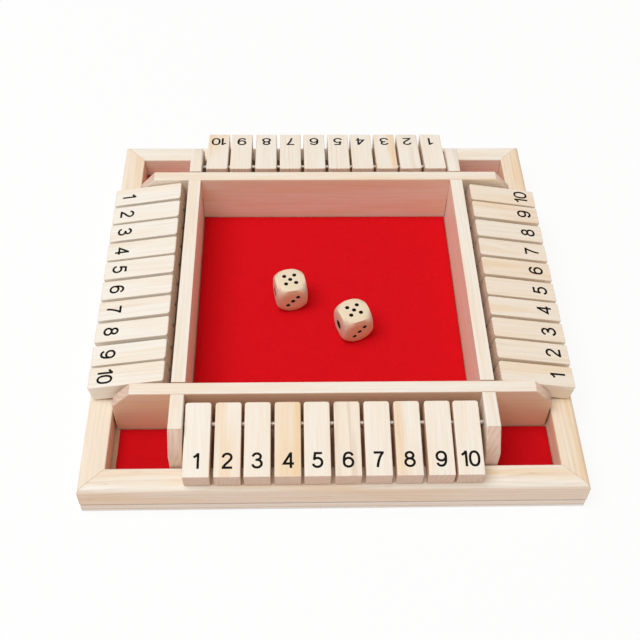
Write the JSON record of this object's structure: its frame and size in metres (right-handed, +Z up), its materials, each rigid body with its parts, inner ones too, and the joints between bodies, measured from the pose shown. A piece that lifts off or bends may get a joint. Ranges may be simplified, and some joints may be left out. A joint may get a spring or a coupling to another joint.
{
  "type": "dice board game",
  "caption": "Square wooden dice game: felt-lined tray on a railed base, numbered flip tiles hinged on steel rods along every side, corner pockets and loose dice.",
  "frame": {"origin": "centre of the base panel's underside", "axes": "+Z up, -Y towards the player at the front side, +X to that player's right"},
  "size_m": [0.285, 0.285, 0.0428],
  "materials": {
    "plywood": "sanded three-ply board, edges showing",
    "pine": "sanded pale pine",
    "tile_pine": "sanded pale pine, thin clear coat",
    "die_wood": "smooth turned beech",
    "felt": "red craft felt",
    "steel": "drawn steel rod",
    "number_ink": "matte black print"
  },
  "bodies": {
    "board": {"base_panel": "plywood", "tray_felt": "felt", "pocket_felt_front_right": "felt", "pocket_felt_back_right": "felt", "pocket_felt_back_left": "felt", "pocket_felt_front_left": "felt", "rail_front": "pine", "rail_right": "pine", "rail_back": "pine", "rail_left": "pine", "wall_front": "pine", "wall_right": "pine", "wall_back": "pine", "wall_left": "pine", "rod_front": "steel", "rod_right": "steel", "rod_back": "steel", "rod_left": "steel"},
    "tile_front_1": {"tile_front_1": "tile_pine"},
    "tile_front_2": {"tile_front_2": "tile_pine"},
    "tile_front_3": {"tile_front_3": "tile_pine"},
    "tile_front_4": {"tile_front_4": "tile_pine"},
    "tile_front_5": {"tile_front_5": "tile_pine"},
    "tile_front_6": {"tile_front_6": "tile_pine"},
    "tile_front_7": {"tile_front_7": "tile_pine"},
    "tile_front_8": {"tile_front_8": "tile_pine"},
    "tile_front_9": {"tile_front_9": "tile_pine"},
    "tile_front_10": {"tile_front_10": "tile_pine"},
    "tile_right_1": {"tile_right_1": "tile_pine"},
    "tile_right_2": {"tile_right_2": "tile_pine"},
    "tile_right_3": {"tile_right_3": "tile_pine"},
    "tile_right_4": {"tile_right_4": "tile_pine"},
    "tile_right_5": {"tile_right_5": "tile_pine"},
    "tile_right_6": {"tile_right_6": "tile_pine"},
    "tile_right_7": {"tile_right_7": "tile_pine"},
    "tile_right_8": {"tile_right_8": "tile_pine"},
    "tile_right_9": {"tile_right_9": "tile_pine"},
    "tile_right_10": {"tile_right_10": "tile_pine"},
    "tile_back_1": {"tile_back_1": "tile_pine"},
    "tile_back_2": {"tile_back_2": "tile_pine"},
    "tile_back_3": {"tile_back_3": "tile_pine"},
    "tile_back_4": {"tile_back_4": "tile_pine"},
    "tile_back_5": {"tile_back_5": "tile_pine"},
    "tile_back_6": {"tile_back_6": "tile_pine"},
    "tile_back_7": {"tile_back_7": "tile_pine"},
    "tile_back_8": {"tile_back_8": "tile_pine"},
    "tile_back_9": {"tile_back_9": "tile_pine"},
    "tile_back_10": {"tile_back_10": "tile_pine"},
    "tile_left_1": {"tile_left_1": "tile_pine"},
    "tile_left_2": {"tile_left_2": "tile_pine"},
    "tile_left_3": {"tile_left_3": "tile_pine"},
    "tile_left_4": {"tile_left_4": "tile_pine"},
    "tile_left_5": {"tile_left_5": "tile_pine"},
    "tile_left_6": {"tile_left_6": "tile_pine"},
    "tile_left_7": {"tile_left_7": "tile_pine"},
    "tile_left_8": {"tile_left_8": "tile_pine"},
    "tile_left_9": {"tile_left_9": "tile_pine"},
    "tile_left_10": {"tile_left_10": "tile_pine"},
    "die_1": {"die_1": "die_wood"},
    "die_2": {"die_2": "die_wood"}
  },
  "joints": [
    {"name": "tile_front_1_hinge", "type": "hinge", "parent": "board", "child": "tile_front_1", "pos_m": [-0.07616, -0.107, 0.0336], "axis": [-1, 0, 0], "range_deg": [0, 136.6]},
    {"name": "tile_front_2_hinge", "type": "hinge", "parent": "board", "child": "tile_front_2", "pos_m": [-0.05923, -0.107, 0.0336], "axis": [-1, 0, 0], "range_deg": [0, 136.6]},
    {"name": "tile_front_3_hinge", "type": "hinge", "parent": "board", "child": "tile_front_3", "pos_m": [-0.04285, -0.107, 0.0336], "axis": [-1, 0, 0], "range_deg": [0, 136.6]},
    {"name": "tile_front_4_hinge", "type": "hinge", "parent": "board", "child": "tile_front_4", "pos_m": [-0.0261, -0.107, 0.0336], "axis": [-1, 0, 0], "range_deg": [0, 136.6]},
    {"name": "tile_front_5_hinge", "type": "hinge", "parent": "board", "child": "tile_front_5", "pos_m": [-0.00981, -0.107, 0.0336], "axis": [-1, 0, 0], "range_deg": [0, 136.6]},
    {"name": "tile_front_6_hinge", "type": "hinge", "parent": "board", "child": "tile_front_6", "pos_m": [0.00709, -0.107, 0.0336], "axis": [-1, 0, 0], "range_deg": [0, 136.6]},
    {"name": "tile_front_7_hinge", "type": "hinge", "parent": "board", "child": "tile_front_7", "pos_m": [0.02388, -0.107, 0.0336], "axis": [-1, 0, 0], "range_deg": [0, 136.6]},
    {"name": "tile_front_8_hinge", "type": "hinge", "parent": "board", "child": "tile_front_8", "pos_m": [0.04078, -0.107, 0.0336], "axis": [-1, 0, 0], "range_deg": [0, 136.6]},
    {"name": "tile_front_9_hinge", "type": "hinge", "parent": "board", "child": "tile_front_9", "pos_m": [0.05816, -0.107, 0.0336], "axis": [-1, 0, 0], "range_deg": [0, 136.6]},
    {"name": "tile_front_10_hinge", "type": "hinge", "parent": "board", "child": "tile_front_10", "pos_m": [0.07437, -0.107, 0.0336], "axis": [-1, 0, 0], "range_deg": [0, 136.6]},
    {"name": "tile_right_1_hinge", "type": "hinge", "parent": "board", "child": "tile_right_1", "pos_m": [0.107, -0.07616, 0.0336], "axis": [0, -1, 0], "range_deg": [0, 136.6]},
    {"name": "tile_right_2_hinge", "type": "hinge", "parent": "board", "child": "tile_right_2", "pos_m": [0.107, -0.05923, 0.0336], "axis": [0, -1, 0], "range_deg": [0, 136.6]},
    {"name": "tile_right_3_hinge", "type": "hinge", "parent": "board", "child": "tile_right_3", "pos_m": [0.107, -0.04285, 0.0336], "axis": [0, -1, 0], "range_deg": [0, 136.6]},
    {"name": "tile_right_4_hinge", "type": "hinge", "parent": "board", "child": "tile_right_4", "pos_m": [0.107, -0.0261, 0.0336], "axis": [0, -1, 0], "range_deg": [0, 136.6]},
    {"name": "tile_right_5_hinge", "type": "hinge", "parent": "board", "child": "tile_right_5", "pos_m": [0.107, -0.00981, 0.0336], "axis": [0, -1, 0], "range_deg": [0, 136.6]},
    {"name": "tile_right_6_hinge", "type": "hinge", "parent": "board", "child": "tile_right_6", "pos_m": [0.107, 0.00709, 0.0336], "axis": [0, -1, 0], "range_deg": [0, 136.6]},
    {"name": "tile_right_7_hinge", "type": "hinge", "parent": "board", "child": "tile_right_7", "pos_m": [0.107, 0.02388, 0.0336], "axis": [0, -1, 0], "range_deg": [0, 136.6]},
    {"name": "tile_right_8_hinge", "type": "hinge", "parent": "board", "child": "tile_right_8", "pos_m": [0.107, 0.04078, 0.0336], "axis": [0, -1, 0], "range_deg": [0, 136.6]},
    {"name": "tile_right_9_hinge", "type": "hinge", "parent": "board", "child": "tile_right_9", "pos_m": [0.107, 0.05816, 0.0336], "axis": [0, -1, 0], "range_deg": [0, 136.6]},
    {"name": "tile_right_10_hinge", "type": "hinge", "parent": "board", "child": "tile_right_10", "pos_m": [0.107, 0.07437, 0.0336], "axis": [0, -1, 0], "range_deg": [0, 136.6]},
    {"name": "tile_back_1_hinge", "type": "hinge", "parent": "board", "child": "tile_back_1", "pos_m": [0.07616, 0.107, 0.0336], "axis": [1, 0, 0], "range_deg": [0, 136.6]},
    {"name": "tile_back_2_hinge", "type": "hinge", "parent": "board", "child": "tile_back_2", "pos_m": [0.05923, 0.107, 0.0336], "axis": [1, 0, 0], "range_deg": [0, 136.6]},
    {"name": "tile_back_3_hinge", "type": "hinge", "parent": "board", "child": "tile_back_3", "pos_m": [0.04285, 0.107, 0.0336], "axis": [1, 0, 0], "range_deg": [0, 136.6]},
    {"name": "tile_back_4_hinge", "type": "hinge", "parent": "board", "child": "tile_back_4", "pos_m": [0.0261, 0.107, 0.0336], "axis": [1, 0, 0], "range_deg": [0, 136.6]},
    {"name": "tile_back_5_hinge", "type": "hinge", "parent": "board", "child": "tile_back_5", "pos_m": [0.00981, 0.107, 0.0336], "axis": [1, 0, 0], "range_deg": [0, 136.6]},
    {"name": "tile_back_6_hinge", "type": "hinge", "parent": "board", "child": "tile_back_6", "pos_m": [-0.00709, 0.107, 0.0336], "axis": [1, 0, 0], "range_deg": [0, 136.6]},
    {"name": "tile_back_7_hinge", "type": "hinge", "parent": "board", "child": "tile_back_7", "pos_m": [-0.02388, 0.107, 0.0336], "axis": [1, 0, 0], "range_deg": [0, 136.6]},
    {"name": "tile_back_8_hinge", "type": "hinge", "parent": "board", "child": "tile_back_8", "pos_m": [-0.04078, 0.107, 0.0336], "axis": [1, 0, 0], "range_deg": [0, 136.6]},
    {"name": "tile_back_9_hinge", "type": "hinge", "parent": "board", "child": "tile_back_9", "pos_m": [-0.05816, 0.107, 0.0336], "axis": [1, 0, 0], "range_deg": [0, 136.6]},
    {"name": "tile_back_10_hinge", "type": "hinge", "parent": "board", "child": "tile_back_10", "pos_m": [-0.07437, 0.107, 0.0336], "axis": [1, 0, 0], "range_deg": [0, 136.6]},
    {"name": "tile_left_1_hinge", "type": "hinge", "parent": "board", "child": "tile_left_1", "pos_m": [-0.107, 0.07616, 0.0336], "axis": [0, 1, 0], "range_deg": [0, 136.6]},
    {"name": "tile_left_2_hinge", "type": "hinge", "parent": "board", "child": "tile_left_2", "pos_m": [-0.107, 0.05923, 0.0336], "axis": [0, 1, 0], "range_deg": [0, 136.6]},
    {"name": "tile_left_3_hinge", "type": "hinge", "parent": "board", "child": "tile_left_3", "pos_m": [-0.107, 0.04285, 0.0336], "axis": [0, 1, 0], "range_deg": [0, 136.6]},
    {"name": "tile_left_4_hinge", "type": "hinge", "parent": "board", "child": "tile_left_4", "pos_m": [-0.107, 0.0261, 0.0336], "axis": [0, 1, 0], "range_deg": [0, 136.6]},
    {"name": "tile_left_5_hinge", "type": "hinge", "parent": "board", "child": "tile_left_5", "pos_m": [-0.107, 0.00981, 0.0336], "axis": [0, 1, 0], "range_deg": [0, 136.6]},
    {"name": "tile_left_6_hinge", "type": "hinge", "parent": "board", "child": "tile_left_6", "pos_m": [-0.107, -0.00709, 0.0336], "axis": [0, 1, 0], "range_deg": [0, 136.6]},
    {"name": "tile_left_7_hinge", "type": "hinge", "parent": "board", "child": "tile_left_7", "pos_m": [-0.107, -0.02388, 0.0336], "axis": [0, 1, 0], "range_deg": [0, 136.6]},
    {"name": "tile_left_8_hinge", "type": "hinge", "parent": "board", "child": "tile_left_8", "pos_m": [-0.107, -0.04078, 0.0336], "axis": [0, 1, 0], "range_deg": [0, 136.6]},
    {"name": "tile_left_9_hinge", "type": "hinge", "parent": "board", "child": "tile_left_9", "pos_m": [-0.107, -0.05816, 0.0336], "axis": [0, 1, 0], "range_deg": [0, 136.6]},
    {"name": "tile_left_10_hinge", "type": "hinge", "parent": "board", "child": "tile_left_10", "pos_m": [-0.107, -0.07437, 0.0336], "axis": [0, 1, 0], "range_deg": [0, 136.6]},
    {"name": "die_1_lift", "type": "slide", "parent": "board", "child": "die_1", "axis": [0, 0, 1], "range_m": [0, 0.06]},
    {"name": "die_2_lift", "type": "slide", "parent": "board", "child": "die_2", "axis": [0, 0, 1], "range_m": [0, 0.06]}
  ]
}
